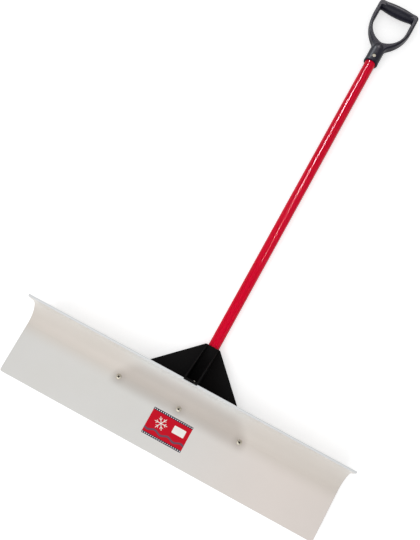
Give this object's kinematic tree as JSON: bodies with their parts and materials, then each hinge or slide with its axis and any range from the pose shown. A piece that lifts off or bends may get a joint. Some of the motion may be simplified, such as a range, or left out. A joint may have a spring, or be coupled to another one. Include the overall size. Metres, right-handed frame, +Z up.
{
  "type": "snow shovel",
  "caption": "Wide push-type snow shovel with a rolled plastic sheet blade, a ribbed moulded bracket, a round tube handle and a D-shaped grip.",
  "frame": {"origin": "Bottom centre of the bounding box, on the ground under the middle of the shovel, which lies on its back with the hollow of the blade up.", "axes": "+Z is up, out of the front face of the blade and square to the handle. +Y runs along the handle from the scraping edge to the grip. +X runs along the blade, to the right for someone who looks at its front with the grip at the top."},
  "size_m": [0.9144, 1.468, 0.1585],
  "materials": {
    "blade_sheet": "off-white polyethylene sheet, satin, slightly translucent",
    "bracket_moulding": "near-black moulded plastic, fine matt grain",
    "handle_tube": "red pultruded fibreglass, glossy",
    "handle_core": "pale plastic core",
    "grip_moulding": "near-black moulded plastic, low sheen",
    "zinc_steel": "bright zinc plating",
    "nylon": "natural nylon",
    "label_film": "printed film, red with navy and white"
  },
  "bodies": {
    "root": {"blade": "blade_sheet", "blade_lock_nut_centre": "zinc_steel", "blade_lock_nut_left": "zinc_steel", "blade_lock_nut_right": "zinc_steel", "blade_screw_centre": "zinc_steel", "blade_screw_left": "zinc_steel", "blade_screw_right": "zinc_steel", "blade_washer_centre": "zinc_steel", "blade_washer_left": "zinc_steel", "blade_washer_right": "zinc_steel", "bracket": "bracket_moulding", "grip": "grip_moulding", "grip_rivet": "zinc_steel", "handle_core_lower": "handle_core", "handle_core_upper": "handle_core", "handle_tube": "handle_tube", "label": "label_film", "nut_nylon_rings": "nylon", "socket_barrel_nut": "zinc_steel", "socket_bolt": "zinc_steel"}
  },
  "joints": []
}
